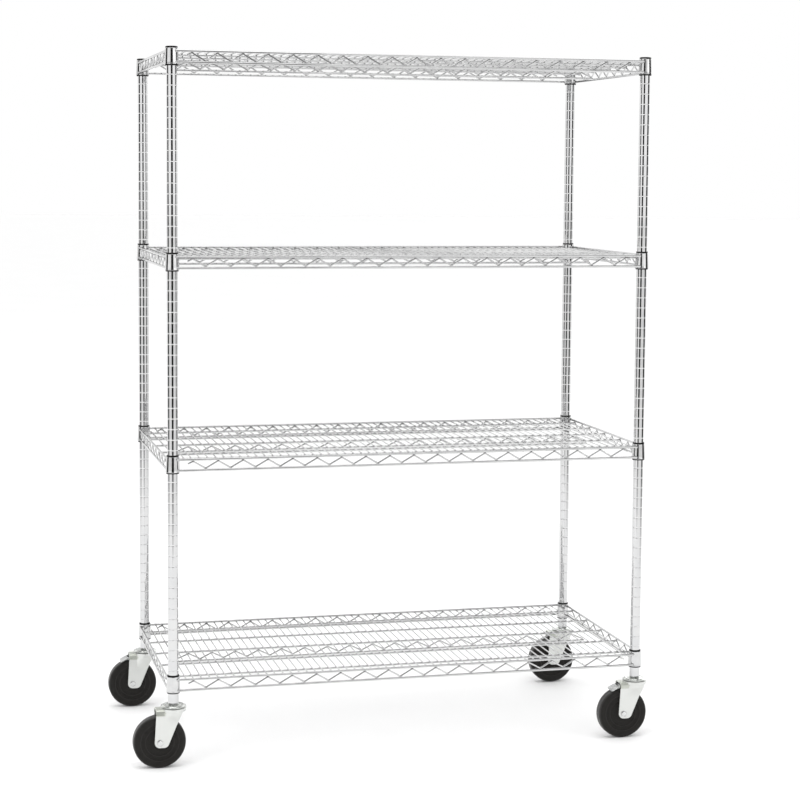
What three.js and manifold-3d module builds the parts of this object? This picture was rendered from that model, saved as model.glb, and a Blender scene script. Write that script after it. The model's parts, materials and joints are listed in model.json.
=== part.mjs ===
// Four-shelf chromed wire shelving rack on swivel stem casters.
// Units millimetres, +Z up, X along the long side, -Y is the front.
// All four casters trail towards -X. The group is shifted in X by that trail, so the
// origin lies on the floor midway between the axles, under the middle of the object's box.
import * as THREE from 'three';
import { mergeVertices } from 'three/addons/utils/BufferGeometryUtils.js';
import Module from 'manifold-3d';

const wasm = await Module();
wasm.setup();
const { Manifold, Mesh } = wasm;

// ---------------------------------------------------------------- materials
const standard = (settings) => new THREE.MeshStandardMaterial(settings);
const chrome = standard({ color: 0xdfe0e0, metalness: 1.0, roughness: 0.12 });
const zinc = standard({ color: 0xc9cdca, metalness: 0.9, roughness: 0.35 });
const steel = standard({ color: 0xb4b6b8, metalness: 1.0, roughness: 0.3 });
const blackPlastic = standard({ color: 0x141414, metalness: 0.0, roughness: 0.45 });
const blackRubber = standard({ color: 0x2c2a29, metalness: 0.0, roughness: 0.6 });
const nylon = standard({ color: 0xd8d4c8, metalness: 0.0, roughness: 0.5 });

// ---------------------------------------------------------------- solid helpers
const FACETS = 12;             // posts, collars and other upright turned parts
const SMALL_FACETS = 8;        // axle parts, pins and their holes
const WHEEL_FACETS = 24;
const CUT_PAST = 1;            // a window cutter runs this far beyond each plate face

// Welds a closed three.js geometry into a manifold, with its faces turned outwards.
function solid(geometry) {
  for (const name of Object.keys(geometry.attributes)) {
    if (name !== 'position') geometry.deleteAttribute(name);
  }
  const welded = mergeVertices(geometry, 1e-4);
  const position = welded.attributes.position;
  const index = welded.index.array;
  const corner = (i) => new THREE.Vector3().fromBufferAttribute(position, i);
  const triangles = [];
  let signedVolume = 0;
  for (let i = 0; i < index.length; i += 3) {
    const [a, b, c] = index.slice(i, i + 3);
    // welding flattens the triangles that meet on a turning axis
    if (a === b || b === c || c === a) continue;
    triangles.push([a, b, c]);
    signedVolume += corner(a).dot(corner(b).cross(corner(c)));
  }
  if (signedVolume < 0) {
    for (const triangle of triangles) triangle.reverse();
  }
  return new Manifold(new Mesh({
    numProp: 3,
    vertProperties: new Float32Array(position.array),
    triVerts: new Uint32Array(triangles.flat()),
  }));
}

function geometryOf(manifold) {
  const mesh = manifold.getMesh();
  const geometry = new THREE.BufferGeometry();
  const positions = new Float32Array(mesh.vertProperties);
  geometry.setAttribute('position', new THREE.BufferAttribute(positions, 3));
  geometry.setIndex(new THREE.BufferAttribute(new Uint32Array(mesh.triVerts), 1));
  geometry.computeVertexNormals();
  return geometry;
}

// [low, high] of a size laid evenly about a centre.
const span = (centre, size) => [centre - size / 2, centre + size / 2];

// A box from its [low, high] pair along each axis.
const block = ([x0, x1], [y0, y1], [z0, z1]) =>
  solid(new THREE.BoxGeometry(x1 - x0, y1 - y0, z1 - z0)
    .translate((x0 + x1) / 2, (y0 + y1) / 2, (z0 + z1) / 2));

// A lathe from [radius, height] points. A profile that doesn't reach the axis at both
// ends is closed on itself.
function lathe(profile, facets) {
  const loop = profile.map(([radius, height]) => new THREE.Vector2(radius, height));
  const onAxis = loop[0].x === 0 && loop[loop.length - 1].x === 0;
  if (!onAxis) loop.push(loop[0].clone());
  return new THREE.LatheGeometry(loop, facets, Math.PI / facets);
}

// Turned about +Z from [radius, z] points.
const turned = (profile, facets = FACETS) => solid(lathe(profile, facets).rotateX(Math.PI / 2));

// Turned about the Y axis from [radius, y] points, with one flat facet straight down.
const turnedY = (profile, facets = SMALL_FACETS) => solid(lathe(profile, facets));

// A flat outline pulled straight along +Z.
function prism(outline, z0, z1) {
  const shape = new THREE.Shape(outline.map(([x, y]) => new THREE.Vector2(x, y)));
  const settings = { depth: z1 - z0, bevelEnabled: false, steps: 1 };
  return solid(new THREE.ExtrudeGeometry(shape, settings).translate(0, 0, z0));
}

// A flat plate from y0 to y1, its outline and the windows through it given as [x, z] points.
function plateXZ(outline, windows, y0, y1) {
  let plate = prism(outline, -y1, -y0);
  if (windows.length) {
    const cutters = windows.map((window) => prism(window, -y1 - CUT_PAST, -y0 + CUT_PAST));
    plate = plate.subtract(Manifold.union(cutters));
  }
  return plate.rotate([90, 0, 0]);   // the outline's y becomes +Z, the depth runs to -Y
}

// A regular polygon as a point list.
const polygon = (centreX, centreZ, radius, sides, phase = 0) =>
  Array.from({ length: sides }, (_, i) => {
    const angle = phase + (2 * Math.PI * i) / sides;
    return [centreX + radius * Math.cos(angle), centreZ + radius * Math.sin(angle)];
  });

const pinHole = (x, z, radius) => polygon(x, z, radius, SMALL_FACETS, Math.PI / SMALL_FACETS);

// ---------------------------------------------------------------- rack layout
const POST_X = 1181 / 2;       // post axes from the rack's centre
const POST_Y = 577 / 2;

const NOTCH_PITCH = 25.4;      // height adjustment step
const TOP_SHELF_Z = 1712.6;    // centre height of the top shelf's top rail
const SHELVES = [              // name, notches below the top shelf
  ['top', 0], ['upper', 19], ['lower', 38], ['bottom', 59],
].map(([name, notches]) => ({ name, z: TOP_SHELF_Z - notches * NOTCH_PITCH }));

const CORNERS = [              // name, side in X, side in Y, has a brake
  ['front_left', -1, -1, false],
  ['front_right', 1, -1, true],
  ['rear_left', -1, 1, true],
  ['rear_right', 1, 1, false],
];

// ---------------------------------------------------------------- sleeves
// Heights in this section and the next are from the centre of the shelf's top rail.
const SLEEVE_TOP = 10.5;
const SLEEVE_BOTTOM = -34.2;
const SLEEVE_R_TOP = 13.85;
const SLEEVE_R_BOTTOM = 15.35;
const SLEEVE_BORE = 13.05;
const SLIT_WIDTH = 0.8;
const SLIT_CUT_X = 15;         // centre of the slit cutter from the post axis
const SLIT_CUT_LENGTH = 20;
const SLIT_CUT_HEIGHT = 120;

const sleeveRadius = (z) => {
  const slope = (SLEEVE_R_BOTTOM - SLEEVE_R_TOP) / (SLEEVE_TOP - SLEEVE_BOTTOM);
  return SLEEVE_R_TOP + (SLEEVE_TOP - z) * slope;
};

// Tapered wedge sleeve, one ring slit on the side given by the sign of `slitSide` in X.
const sleeveSolid = (slitSide) => turned([
  [SLEEVE_BORE, SLEEVE_BOTTOM],
  [SLEEVE_R_BOTTOM, SLEEVE_BOTTOM],
  [SLEEVE_R_TOP, SLEEVE_TOP],
  [SLEEVE_BORE, SLEEVE_TOP],
]).subtract(block(
  span(slitSide * SLIT_CUT_X, SLIT_CUT_LENGTH), span(0, SLIT_WIDTH), span(0, SLIT_CUT_HEIGHT)));

// ---------------------------------------------------------------- shelf
const RAIL_T = 6;              // perimeter wire
const RAIL_DROP = 26;          // top rail centre to bottom rail centre
const RAIL_Y = POST_Y + 13.5;  // front and rear rails stand outside the post axes
const RAIL_X = POST_X + 12;    // side rails, the same
const PANEL_SETBACK = 9;       // perimeter trusses end this far short of the post axes
const LONG_ZIGZAG = { half: 543.6, bays: 9 };
const SIDE_ZIGZAG = { half: 240, bays: 4 };
const STRUT_HX = 3.0;          // horizontal half thickness of a zigzag strut
const END_BAR = 4.5;           // upright closing each end of a perimeter truss

const BEARER_Y = [-243, -121.5, 121.5, 243];  // lengthwise deck bearers
const BEARER_T = 6.2;
const BEARER_TOP = -2.4;
const MID_BEARER_INSET = 0.05; // the middle bearer's sides and bottom lie inside its truss wire
const MID_DROP = 30;           // middle truss bottom wire centre
const MID_HALF = 552;

const DECK_PITCH = 40.14;
const DECK_COUNT = 28;
const DECK_T = 3.2;
const DECK_BOTTOM = -2.1;
const END_WIRE_X = 577;        // short deck wires beside the collars
const END_WIRE_HALF = 250;
const END_WIRE_SINK = 1;       // how far they are let into the bearers

const COLLAR_TOP = 7;
const COLLAR_BOTTOM = -31.2;
const COLLAR_R_TOP = 15.3;
const COLLAR_R_BOTTOM = 17.0;
const BORE_PAST = 5;           // the bore cutter runs this far beyond the collar's ends
const FIT_GAP = 0.32;          // between sleeve and collar bore

// A truss panel: two rails and a zigzag between them, cut as one flat plate.
// The zigzag starts and ends against the top rail in a closed panel (`startHigh`), or
// against the bottom rail in one whose ends are open.
function trussPlate({ half, zigzag, top, bottom, wire, startHigh }) {
  const highZ = top - wire / 2;              // underside of the top rail
  const lowZ = bottom + wire / 2;            // upper side of the bottom rail
  const outline = [
    [-half, lowZ - wire], [half, lowZ - wire], [half, highZ + wire], [-half, highZ + wire]];
  const step = zigzag.half / zigzag.bays;    // from one zigzag node to the next
  const lift = (STRUT_HX / step) * (highZ - lowZ);
  const windows = [];

  // four-sided window beyond the last strut at each end
  const endX = startHigh ? half - END_BAR : half + CUT_PAST;
  const [endNodeZ, nextNodeZ] = startHigh ? [highZ, lowZ] : [lowZ, highZ];
  for (const side of [-1, 1]) {
    windows.push([
      [side * endX, nextNodeZ],
      [side * (zigzag.half - step + STRUT_HX), nextNodeZ],
      [side * (zigzag.half + STRUT_HX), endNodeZ],
      [side * endX, endNodeZ],
    ]);
  }

  // triangular window above or below each inner node
  for (let i = 1; i < 2 * zigzag.bays; i++) {
    const x = -zigzag.half + i * step;
    const isHigh = (i % 2 === 0) === startHigh;
    const baseZ = isHigh ? lowZ : highZ;
    const apexZ = isHigh ? highZ - lift : lowZ + lift;
    windows.push([[x - step + STRUT_HX, baseZ], [x + step - STRUT_HX, baseZ], [x, apexZ]]);
  }
  return plateXZ(outline, windows, -wire / 2, wire / 2);
}

function perimeterTrusses() {
  const rails = { top: 0, bottom: -RAIL_DROP, wire: RAIL_T, startHigh: true };
  const long = trussPlate({ ...rails, half: POST_X - PANEL_SETBACK, zigzag: LONG_ZIGZAG });
  const short = trussPlate({ ...rails, half: POST_Y - PANEL_SETBACK, zigzag: SIDE_ZIGZAG })
    .rotate([0, 0, 90]);
  return [-1, 1].flatMap((side) => [
    long.translate([0, side * RAIL_Y, 0]),
    short.translate([side * RAIL_X, 0, 0]),
  ]);
}

// The middle bearer with its truss, and the plain bearers on both sides of it.
function bearers() {
  const midTruss = trussPlate({
    half: MID_HALF,
    zigzag: LONG_ZIGZAG,
    top: BEARER_TOP - BEARER_T / 2,
    bottom: -MID_DROP,
    wire: BEARER_T,
    startHigh: false,
  });
  const lengthX = [-RAIL_X, RAIL_X];
  const bottom = BEARER_TOP - BEARER_T;
  const midBearer = block(
    lengthX, span(0, BEARER_T - 2 * MID_BEARER_INSET), [bottom + MID_BEARER_INSET, BEARER_TOP]);
  const plain = BEARER_Y.map((y) => block(lengthX, span(y, BEARER_T), [bottom, BEARER_TOP]));
  return [midTruss, midBearer, ...plain];
}

// Deck wires, front to back, just over the bearers and let into the front and rear rails,
// and one short wire at each end.
function deckWires() {
  const wire = (x, half, bottom) =>
    block(span(x, DECK_T), [-half, half], [bottom, bottom + DECK_T]);
  const wires = [-1, 1].map((side) =>
    wire(side * END_WIRE_X, END_WIRE_HALF, BEARER_TOP - END_WIRE_SINK));
  for (let i = 0; i < DECK_COUNT; i++) {
    wires.push(wire((i - (DECK_COUNT - 1) / 2) * DECK_PITCH, RAIL_Y, DECK_BOTTOM));
  }
  return wires;
}

// A tapered plug at each post, from [radius, z] at its bottom and top.
const plugsAtPosts = ([bottomR, bottomZ], [topR, topZ]) => {
  const plug = turned([[0, bottomZ], [bottomR, bottomZ], [topR, topZ], [0, topZ]]);
  return CORNERS.map(([, sideX, sideY]) => plug.translate([sideX * POST_X, sideY * POST_Y, 0]));
};

function shelfSolid() {
  const collars = plugsAtPosts([COLLAR_R_BOTTOM, COLLAR_BOTTOM], [COLLAR_R_TOP, COLLAR_TOP]);
  const boreAt = (z) => [sleeveRadius(z) + FIT_GAP, z];
  const bores = plugsAtPosts(boreAt(COLLAR_BOTTOM - BORE_PAST), boreAt(COLLAR_TOP + BORE_PAST));
  return Manifold.union([...perimeterTrusses(), ...bearers(), ...deckWires(), ...collars])
    .subtract(Manifold.union(bores));
}

// ---------------------------------------------------------------- posts, caps, inserts
const POST_R = 12.7;           // 1 in tube
const POST_INNER_R = POST_R - 1.2;
const POST_BOTTOM = 156;
const POST_TOP = 1721.5;
const PLUG_R = POST_INNER_R - 0.4;   // parts pushed into the tube

const postSolid = () => turned([
  [POST_INNER_R, POST_BOTTOM], [POST_R, POST_BOTTOM], [POST_R, POST_TOP], [POST_INNER_R, POST_TOP],
]);

// Heights from the top of the post.
const capSolid = () => turned([
  [0, -12], [PLUG_R, -12], [PLUG_R, 0.3], [POST_R, 0.3], [POST_R, 2.5], [0, 2.5],
]);

const INSERT_BORE = 5.1;
const INSERT_FLANGE_R = POST_R - 0.1;
const insertSolid = () => turned([
  [INSERT_BORE, 154], [INSERT_FLANGE_R, 154], [INSERT_FLANGE_R, 155.6],
  [PLUG_R, 155.6], [PLUG_R, 180], [INSERT_BORE, 180],
]);

// ---------------------------------------------------------------- caster stem and fork
// X is from the swivel axis, heights from the floor.
const WHEEL_R = 63.5;          // 5 in wheel, distance from axle to tread face
const TRAIL = 34.4;            // the axle lies this far to -X of the swivel axis
const LEG_IN = 17;             // inner and outer faces of the fork legs, in Y
const LEG_OUT = 20;
const BETWEEN_LEGS = LEG_IN - 0.4;   // half length of parts that fit between the legs
const RACE_R = 30;             // swivel raceway discs
const AXLE_HOLE_R = 4.4;

// [radius, z]
const STEM_PROFILE = [
  [0, 135.6], [9.5, 135.6], [9.5, 139.8], [6.5, 139.8], [6.5, 145.3], [25, 145.3],
  [25, 147.4], [RACE_R, 147.4], [RACE_R, 149.4], [25.4, 152], [10, 152], [10, 153.7],
  [4.7, 153.7], [4.7, 172], [0, 172],
];
const stemSolid = () => turned(STEM_PROFILE);

const CROWN_BOTTOM = 140.5;
const CROWN_TOP = 143.5;
const CROWN_X = [-43.7, 22];
const FOOT_RX = 13.2;          // rounded foot about the axle
const FOOT_RZ = 12.6;
const FOOT_STEPS = 4;
const LEG_REAR_EDGE = [[-24, 51.6], [-16, 56], [-11.5, 63]];   // [x, z], up the +X side
const PAN_PROFILE = [          // [radius, z]
  [0, 131], [19.7, 131], [RACE_R, 142], [RACE_R, 144.9], [0, 144.9],
];
const STEM_HOLE_R = 7.6;

// Leg outline: -X edge nearly upright, round foot about the axle, +X edge raked.
function legOutline() {
  const foot = [];
  for (let i = 0; i <= FOOT_STEPS; i++) {
    const angle = Math.PI + (i / FOOT_STEPS) * (Math.PI / 2);
    foot.push([-TRAIL + FOOT_RX * Math.cos(angle), WHEEL_R + FOOT_RZ * Math.sin(angle)]);
  }
  return [[CROWN_X[0], CROWN_TOP], ...foot, ...LEG_REAR_EDGE, [CROWN_X[1], CROWN_TOP]];
}

function forkSolid() {
  const axleHole = pinHole(-TRAIL, WHEEL_R, AXLE_HOLE_R);
  const leg = (y0, y1) => plateXZ(legOutline(), [axleHole], y0, y1);
  const crown = block(CROWN_X, [-LEG_OUT, LEG_OUT], [CROWN_BOTTOM, CROWN_TOP]);
  // round pan for the swivel balls, its skirt flaring out of the two legs
  const pan = turned(PAN_PROFILE)
    .subtract(block([-40, 40], [-LEG_IN, LEG_IN], [125, CROWN_BOTTOM]));
  const stemHole = turned(
    [[0, 130], [STEM_HOLE_R, 130], [STEM_HOLE_R, 150], [0, 150]], SMALL_FACETS);
  return Manifold.union([leg(-LEG_OUT, -LEG_IN), leg(LEG_IN, LEG_OUT), crown, pan])
    .subtract(stemHole);
}

// ---------------------------------------------------------------- wheel and axle
// Drawn about the axle's own centre.
const WHEEL_HALF = 15;
const WHEEL_CHAMFER = 5;
const WHEEL_BORE = 6.4;
const AXLE_R = 4;
const BUSH_R = 6;
const BOLT_HEAD_R = 7.5;
const BOLT_END = 24.5;         // outer faces of the bolt head and the nut
const NUT_R = 7.8;
const NUT_BORE = 4.5;
const HEAD_START = LEG_OUT + 0.3;    // inner faces of the bolt head and the nut
const SHANK_END = BOLT_END - 0.1;

function wheelSolid() {
  const toCorner = 1 / Math.cos(Math.PI / WHEEL_FACETS);   // so the flats stand WHEEL_R away
  const treadR = WHEEL_R * toCorner;
  const sideR = (WHEEL_R - WHEEL_CHAMFER) * toCorner;
  const treadHalf = WHEEL_HALF - WHEEL_CHAMFER;
  return turnedY([
    [WHEEL_BORE, -WHEEL_HALF], [sideR, -WHEEL_HALF], [treadR, -treadHalf],
    [treadR, treadHalf], [sideR, WHEEL_HALF], [WHEEL_BORE, WHEEL_HALF],
  ], WHEEL_FACETS);
}

const bushSolid = () => turnedY([
  [AXLE_HOLE_R, -BETWEEN_LEGS], [BUSH_R, -BETWEEN_LEGS],
  [BUSH_R, BETWEEN_LEGS], [AXLE_HOLE_R, BETWEEN_LEGS],
]);

const boltSolid = () => turnedY([
  [0, -BOLT_END], [BOLT_HEAD_R, -BOLT_END], [BOLT_HEAD_R, -HEAD_START],
  [AXLE_R, -HEAD_START], [AXLE_R, SHANK_END], [0, SHANK_END],
]);

const nutSolid = () =>
  plateXZ(polygon(0, 0, NUT_R, 6), [pinHole(0, 0, NUT_BORE)], HEAD_START, BOLT_END);

// ---------------------------------------------------------------- brake
const PIVOT_X = -40.5;         // from the swivel axis
const PIVOT_Z = 132.5;
const PIVOT_HOLE_R = 2.7;
const BRAKE_PIN_R = 2.4;
const EAR_OUT = 15.6;          // outer and inner faces of the ears, in Y
const EAR_IN = 13.4;
const TOE_HALF = 19.5;
const EAR_OUTLINE = [          // [x, z]
  [PIVOT_X + 4.2, PIVOT_Z - 1.5], [PIVOT_X + 4.2, PIVOT_Z + 3], [PIVOT_X, PIVOT_Z + 4.4],
  [-47.6, 133.4], [-64.9, 124.3], [-66.0, 121.6], [-48.8, 129.6],
  [PIVOT_X - 1, PIVOT_Z - 4.2], [PIVOT_X + 2.5, PIVOT_Z - 3.8],
];
const TOE_OUTLINE = [[-48.7, 132.8], [-64.9, 124.25], [-65.95, 121.65], [-48.9, 129.7]];

// Brake pedal: two ears on a cross pin between the legs, and a sloping toe plate beyond
// the crown's -X edge, over the tread.
function pedalSolid() {
  const pivotHole = pinHole(PIVOT_X, PIVOT_Z, PIVOT_HOLE_R);
  const ears = plateXZ(EAR_OUTLINE, [pivotHole], -EAR_OUT, EAR_OUT)
    .subtract(block([-48.9, -30], [-EAR_IN, EAR_IN], [120, 140.4]));
  const toePlate = plateXZ(TOE_OUTLINE, [], -TOE_HALF, TOE_HALF);
  return Manifold.union([ears, toePlate]);
}

const brakePinSolid = () => turnedY([
  [0, -BETWEEN_LEGS], [BRAKE_PIN_R, -BETWEEN_LEGS], [BRAKE_PIN_R, BETWEEN_LEGS], [0, BETWEEN_LEGS],
]).translate([PIVOT_X, 0, PIVOT_Z]);

// ---------------------------------------------------------------- assembly
function put(parent, name, manifold, material, z = 0) {
  const mesh = new THREE.Mesh(geometryOf(manifold), material);
  mesh.name = name;
  mesh.position.z = z;
  parent.add(mesh);
}

function groupAt(parent, x, y, z) {
  const group = new THREE.Group();
  group.position.set(x, y, z);
  parent.add(group);
  return group;
}

const rack = new THREE.Group();
rack.position.set(TRAIL, 0, 0);

const shelf = shelfSolid();
for (const { name, z } of SHELVES) put(rack, `shelf_${name}`, shelf, chrome, z);

for (const [corner, sideX, sideY, braked] of CORNERS) {
  const post = groupAt(rack, sideX * POST_X, sideY * POST_Y, 0);
  put(post, `post_${corner}`, postSolid(), chrome);
  put(post, `post_cap_${corner}`, capSolid(), blackPlastic, POST_TOP);
  for (const { name, z } of SHELVES) {
    // the slit faces the middle of the rack
    put(post, `sleeve_${name}_${corner}`, sleeveSolid(-sideX), blackPlastic, z);
  }
  put(post, `post_insert_${corner}`, insertSolid(), steel);
  put(post, `caster_stem_${corner}`, stemSolid(), zinc);
  put(post, `caster_fork_${corner}`, forkSolid(), zinc);

  const hub = groupAt(post, -TRAIL, 0, WHEEL_R);
  put(hub, `wheel_${corner}`, wheelSolid(), blackRubber);
  put(hub, `axle_bush_${corner}`, bushSolid(), nylon);
  put(hub, `axle_bolt_${corner}`, boltSolid(), steel);
  put(hub, `axle_nut_${corner}`, nutSolid(), steel);

  if (braked) {
    put(post, `brake_pedal_${corner}`, pedalSolid(), zinc);
    put(post, `brake_pin_${corner}`, brakePinSolid(), steel);
  }
}

export default rack;
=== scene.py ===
"""Looks of a chromed wire shelving rack on four casters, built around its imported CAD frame.

The rack's length runs along X and its depth along Y: left is -X, front is -Y and the floor is
z = 0. Lengths are in millimetres and become metres when a mesh is made; places read from the
frame, and the stage, are in metres. Post axes, shelf heights and wheel centres come from the
boxes of the CAD nodes.
"""

import json
import math

import bmesh
import bpy
import numpy as np
from mathutils import Matrix, Vector

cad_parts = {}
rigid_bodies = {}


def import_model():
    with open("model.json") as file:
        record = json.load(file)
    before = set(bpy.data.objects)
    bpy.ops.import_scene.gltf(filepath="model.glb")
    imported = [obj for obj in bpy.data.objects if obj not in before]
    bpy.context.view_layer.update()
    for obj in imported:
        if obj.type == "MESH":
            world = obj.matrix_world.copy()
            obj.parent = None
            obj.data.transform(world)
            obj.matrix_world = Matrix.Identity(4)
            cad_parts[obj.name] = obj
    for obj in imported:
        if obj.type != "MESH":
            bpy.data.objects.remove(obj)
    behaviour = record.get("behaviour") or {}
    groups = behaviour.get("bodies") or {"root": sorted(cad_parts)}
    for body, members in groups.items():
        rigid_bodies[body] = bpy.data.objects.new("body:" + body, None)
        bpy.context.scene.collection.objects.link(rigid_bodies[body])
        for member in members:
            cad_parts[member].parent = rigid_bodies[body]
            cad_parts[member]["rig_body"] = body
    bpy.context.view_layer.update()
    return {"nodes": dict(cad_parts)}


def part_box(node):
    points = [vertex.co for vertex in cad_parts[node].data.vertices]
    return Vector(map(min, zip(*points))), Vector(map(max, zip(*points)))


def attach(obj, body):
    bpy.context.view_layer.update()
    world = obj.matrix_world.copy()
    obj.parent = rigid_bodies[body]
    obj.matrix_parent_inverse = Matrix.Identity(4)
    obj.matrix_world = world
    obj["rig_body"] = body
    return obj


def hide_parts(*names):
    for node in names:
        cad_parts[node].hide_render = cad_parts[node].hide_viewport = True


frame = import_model()
MM = 0.001
CORNERS = ("front_left", "front_right", "rear_left", "rear_right")
BRAKED = ("front_right", "rear_left")
SHELVES = ("top", "upper", "lower", "bottom")

# ---------------------------------------------------------------- places read from the frame
COLLAR_TOP, COLLAR_BOTTOM = 7.0, -31.2      # from the middle of the shelf's top rails

POST_AT, WHEEL_AT, SHELF_AT = {}, {}, {}    # metres
for corner in CORNERS:
    low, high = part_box(f"post_{corner}")
    POST_AT[corner] = ((low.x + high.x) / 2, (low.y + high.y) / 2, high.z)
    if corner == "front_left":
        POST_HEIGHT = (high.z - low.z) / MM
    low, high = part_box(f"wheel_{corner}")
    WHEEL_AT[corner] = (low + high) / 2
for shelf in SHELVES:
    low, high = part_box(f"shelf_{shelf}")
    SHELF_AT[shelf] = ((low.x + high.x) / 2, (low.y + high.y) / 2, high.z - COLLAR_TOP * MM)
CENTRE_X, CENTRE_Y = SHELF_AT["top"][:2]
HALF_X = (POST_AT["front_right"][0] - CENTRE_X) / MM    # rack centre to post axis
HALF_Y = (POST_AT["rear_right"][1] - CENTRE_Y) / MM
TRAIL = (POST_AT["front_left"][0] - WHEEL_AT["front_left"].x) / MM
AXLE_Z = WHEEL_AT["front_left"].z / MM


# ---------------------------------------------------------------- mesh code
def face_outward(mesh, smooth=False):
    """Turn every face outward, and shade the faces smooth if asked."""
    edit = bmesh.new()
    edit.from_mesh(mesh)
    bmesh.ops.recalc_face_normals(edit, faces=edit.faces)
    if smooth:
        for face in edit.faces:
            face.smooth = True
    edit.to_mesh(mesh)
    edit.free()


class Form:
    """Vertices, faces and each face's material number, gathered into one mesh."""

    def __init__(self):
        self.blocks, self.faces, self.mats, self.count = [], [], [], 0

    def verts(self):
        return np.vstack(self.blocks)

    def add(self, verts, faces, mat=0):
        """mat is one material number, or a list with one for each face."""
        verts = np.asarray(verts, float).reshape(-1, 3)
        self.faces += [tuple(int(i) + self.count for i in face) for face in faces]
        self.mats += mat if isinstance(mat, list) else [mat] * len(faces)
        self.blocks.append(verts)
        self.count += len(verts)

    def join(self, other, offset):
        self.add(other.verts() + np.array(Vector(offset)), other.faces, other.mats)

    def raw_mesh(self, name):
        """A working mesh, still in millimetres."""
        mesh = bpy.data.meshes.new(name)
        mesh.from_pydata(self.verts().tolist(), [], self.faces)
        face_outward(mesh)
        return mesh

    def mesh(self, name, materials, sharp=34.0):
        """The finished mesh in metres; edges bent by more than `sharp` degrees stay crisp."""
        mesh = bpy.data.meshes.new(name)
        mesh.from_pydata((self.verts() * MM).tolist(), [], self.faces)
        for material in materials:
            mesh.materials.append(material)
        mesh.polygons.foreach_set("material_index", np.array(self.mats, np.int32))
        face_outward(mesh, smooth=True)
        mesh.set_sharp_from_angle(angle=math.radians(sharp))
        mesh.update()
        return mesh


def bridge(ring_a, ring_b, count, closed=True):
    """Quads between two rings of `count` points, given the index of each ring's first point."""
    span = count if closed else count - 1
    return [(ring_a + i, ring_a + (i + 1) % count, ring_b + (i + 1) % count, ring_b + i)
            for i in range(span)]


def end_strips(base, count):
    """Quads closing a flat section whose second half runs back along its first."""
    return [(base + k, base + k + 1, base + count - 2 - k, base + count - 1 - k)
            for k in range(count // 2 - 1)]


def unit_rows(vectors):
    return vectors / np.linalg.norm(vectors, axis=1)[:, None]


def rod(form, points, radius, sides=10, flat_ends=False):
    """A round wire along a line of points, none of it upright, closed at both ends."""
    path = np.asarray(points, float)
    runs = unit_rows(path[1:] - path[:-1])
    tangents = unit_rows(np.vstack([runs[:1], runs[:-1] + runs[1:], runs[-1:]]))
    across = np.cross(tangents[0], (0.0, 0.0, 1.0))
    stations = []
    for centre, along in zip(path, tangents):
        across = across - along * (across @ along)
        across /= np.linalg.norm(across)
        stations.append((centre, along, across, radius))

    # each cap ring's distance past the end and its size, and the tip's distance, in radii
    if flat_ends:
        cap_rings, tip = [(0.28, 0.74)], 0.28
    else:
        cap_rings = [(math.sin(a), math.cos(a)) for a in (math.pi / 6, math.pi / 3)]
        tip = 1.0

    def cap(station, sign):
        centre, along, across, _ = station
        rings = [(centre + sign * along * radius * reach, along, across, radius * size)
                 for reach, size in cap_rings]
        return rings, centre + sign * along * radius * tip

    first_cap, first_tip = cap(stations[0], -1)
    last_cap, last_tip = cap(stations[-1], 1)
    rings = first_cap[::-1] + stations + last_cap
    angles = np.arange(sides) / sides * 2 * math.pi
    cosines, sines = np.cos(angles)[:, None], np.sin(angles)[:, None]
    verts = [first_tip[None, :]]
    for centre, along, across, size in rings:
        verts.append(centre + size * (cosines * across + sines * np.cross(along, across)))
    verts.append(last_tip[None, :])
    faces = []
    for k in range(len(rings) - 1):
        faces += bridge(1 + k * sides, 1 + (k + 1) * sides, sides)
    last = 1 + (len(rings) - 1) * sides
    for i in range(sides):
        after = (i + 1) % sides
        faces += [(0, 1 + after, 1 + i), (last + sides, last + i, last + after)]
    form.add(np.vstack(verts), faces)


def rounded(points, radius, steps=5):
    """A polyline with every inner corner turned into an arc of that radius."""
    points = [np.asarray(point, float) for point in points]
    out = [points[0]]
    for before, corner, after in zip(points[:-2], points[1:-1], points[2:]):
        back, ahead = before - corner, after - corner
        back_length, ahead_length = np.linalg.norm(back), np.linalg.norm(ahead)
        back, ahead = back / back_length, ahead / ahead_length
        half = math.acos(max(-1, min(1, float(back @ ahead)))) / 2
        cut = min(radius / math.tan(half), 0.45 * back_length, 0.45 * ahead_length)
        bend = cut * math.tan(half)
        middle = back + ahead
        centre = corner + middle / np.linalg.norm(middle) * (bend / math.sin(half))
        start, stop = corner + back * cut - centre, corner + ahead * cut - centre
        total = math.acos(max(-1, min(1, float(start @ stop) / (bend * bend))))
        for k in range(steps + 1):
            part = k / steps
            spoke = math.sin((1 - part) * total) * start + math.sin(part * total) * stop
            out.append(centre + spoke / math.sin(total))
    out.append(points[-1])
    return out


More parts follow.
